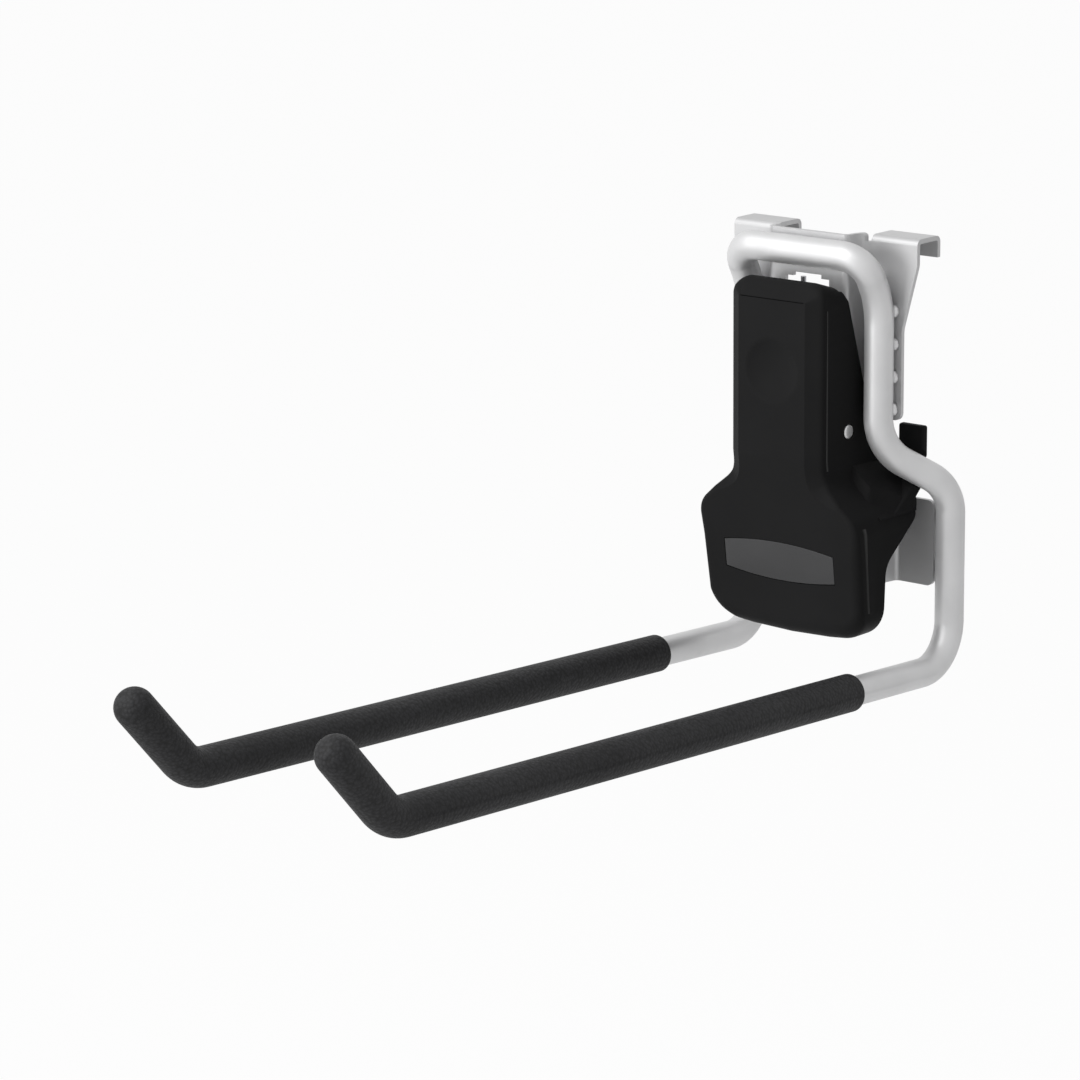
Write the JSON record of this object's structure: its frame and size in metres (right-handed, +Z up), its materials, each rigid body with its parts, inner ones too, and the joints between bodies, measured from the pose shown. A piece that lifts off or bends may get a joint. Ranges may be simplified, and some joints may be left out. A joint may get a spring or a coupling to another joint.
{
  "type": "two-prong utility rail hook",
  "caption": "Bent-bar utility hook with two sleeved prongs, a stamped bracket that hangs on a wall rail, and a sprung latch lever.",
  "frame": {"origin": "rail seat: middle of the width, on the back of the upper flanges, level with the underside of the two top hooks", "axes": "+X to the right seen from the front, +Y into the wall (the prongs point to -Y), +Z up"},
  "size_m": [0.0904, 0.3058, 0.1475],
  "materials": {
    "zinc_sheet": "satin silver",
    "satin_bar": "satin silver",
    "grip_coating": "fine pebbled dark grey",
    "black_plastic": "satin moulded black",
    "grey_plastic": "satin grey",
    "pin_steel": "turned steel",
    "spring_steel": "drawn wire",
    "weld_metal": "satin silver over weld"
  },
  "bodies": {
    "frame": {"back_bracket": "zinc_sheet", "hook_bar": "satin_bar", "left_grip_sleeve": "grip_coating", "right_grip_sleeve": "grip_coating", "pivot_pin": "pin_steel", "return_spring": "spring_steel", "weld_bead_left_1": "weld_metal", "weld_bead_left_2": "weld_metal", "weld_bead_left_3": "weld_metal", "weld_bead_left_4": "weld_metal", "weld_bead_right_1": "weld_metal", "weld_bead_right_2": "weld_metal", "weld_bead_right_3": "weld_metal", "weld_bead_right_4": "weld_metal", "foot_weld_left_1": "weld_metal", "foot_weld_left_2": "weld_metal", "foot_weld_right_1": "weld_metal", "foot_weld_right_2": "weld_metal"},
    "lever": {"latch_lever": "black_plastic", "badge_plate": "grey_plastic"}
  },
  "joints": [
    {"name": "latch_press", "type": "hinge", "parent": "frame", "child": "lever", "pos_m": [0, -0.0129, -0.061], "axis": [1, 0, 0], "range_deg": [-6, 0], "stiffness_Nm_per_rad": 1.2, "springref_deg": 8.59, "deforming": ["return_spring"]}
  ]
}
